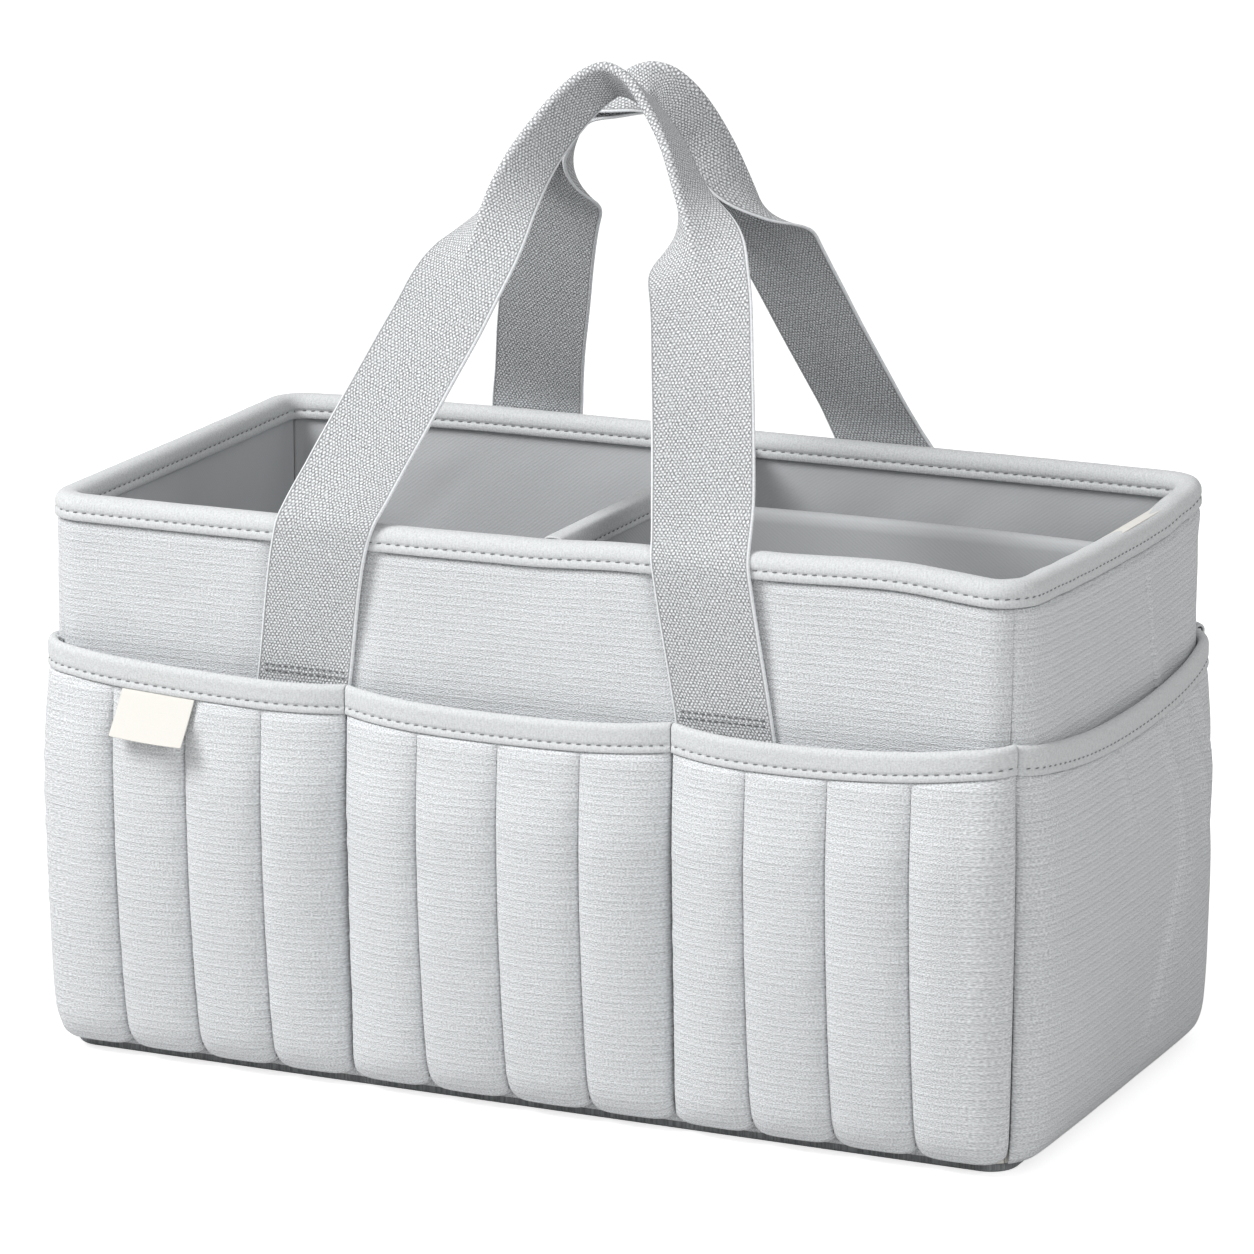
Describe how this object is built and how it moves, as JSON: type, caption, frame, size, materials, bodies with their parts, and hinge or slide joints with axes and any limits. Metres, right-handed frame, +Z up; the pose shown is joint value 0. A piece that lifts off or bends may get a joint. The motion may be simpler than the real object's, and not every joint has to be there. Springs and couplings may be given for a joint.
{
  "type": "diaper caddy",
  "caption": "Fabric nursery caddy with quilted outside pockets, gathered end pockets, folded webbing carry handles, bound rims, a lift-out T divider and a blank tab.",
  "frame": {"origin": "The middle of the underside of the base panel, on the surface that the caddy stands on", "axes": "+X runs along the long side to the right, -Y is the front with the blank tab, +Z is up"},
  "size_m": [0.4138, 0.2396, 0.3748],
  "materials": {
    "outer_fabric": "padded polyester cloth with a fine crosswise slub rib, light grey",
    "binding_tape": "fine woven binding tape with a line of stitches, light grey",
    "lining_fabric": "smooth twill lining, mid grey",
    "base_fabric": "coated cloth, darker grey",
    "webbing": "coarse plain-weave webbing, grey",
    "stiff_board": "stiffening board, hidden inside the cloth",
    "hook_and_loop": "hook and loop tape, grey",
    "tab_fabric": "plain ivory ribbon, blank"
  },
  "bodies": {
    "caddy": {"base_panel": "base_fabric", "base_board": "stiff_board", "floor_lining": "lining_fabric", "front_outer_panel": "outer_fabric", "front_stiffener": "stiff_board", "front_lining": "lining_fabric", "right_outer_panel": "outer_fabric", "right_stiffener": "stiff_board", "right_lining": "lining_fabric", "back_outer_panel": "outer_fabric", "back_stiffener": "stiff_board", "back_lining": "lining_fabric", "left_outer_panel": "outer_fabric", "left_stiffener": "stiff_board", "left_lining": "lining_fabric", "rim_binding": "binding_tape", "front_left_pocket": "outer_fabric", "front_left_pocket_binding": "binding_tape", "front_middle_pocket": "outer_fabric", "front_middle_pocket_binding": "binding_tape", "front_right_pocket": "outer_fabric", "front_right_pocket_binding": "binding_tape", "back_left_pocket": "outer_fabric", "back_left_pocket_binding": "binding_tape", "back_middle_pocket": "outer_fabric", "back_middle_pocket_binding": "binding_tape", "back_right_pocket": "outer_fabric", "back_right_pocket_binding": "binding_tape", "right_pocket": "outer_fabric", "right_pocket_binding": "binding_tape", "left_pocket": "outer_fabric", "left_pocket_binding": "binding_tape", "front_left_strap_leg": "webbing", "front_right_strap_leg": "webbing", "back_left_strap_leg": "webbing", "back_right_strap_leg": "webbing", "front_loop_strip": "hook_and_loop", "back_loop_strip": "hook_and_loop", "side_loop_strip": "hook_and_loop"},
    "front_handle": {"front_handle": "webbing"},
    "back_handle": {"back_handle": "webbing"},
    "divider": {"cross_divider_cover": "lining_fabric", "cross_divider_board": "stiff_board", "cross_divider_binding": "binding_tape", "long_divider_cover": "lining_fabric", "long_divider_board": "stiff_board", "front_hook_strip": "hook_and_loop", "back_hook_strip": "hook_and_loop", "side_hook_strip": "hook_and_loop"},
    "blank_tab": {"blank_tab": "tab_fabric"}
  },
  "joints": [
    {"name": "front_handle_swing", "type": "hinge", "parent": "caddy", "child": "front_handle", "pos_m": [0, -0.10015, 0.208], "axis": [1, 0, 0], "range_deg": [0, 180]},
    {"name": "back_handle_swing", "type": "hinge", "parent": "caddy", "child": "back_handle", "pos_m": [0, 0.10015, 0.208], "axis": [-1, 0, 0], "range_deg": [0, 180]},
    {"name": "divider_lift", "type": "slide", "parent": "caddy", "child": "divider", "axis": [0, 0, 1], "range_m": [0, 0.1]},
    {"name": "blank_tab_hinge", "type": "hinge", "parent": "caddy", "child": "blank_tab", "pos_m": [-0.13947, -0.11095, 0.14684], "axis": [-1, 0, 0], "range_deg": [0, 110]}
  ]
}
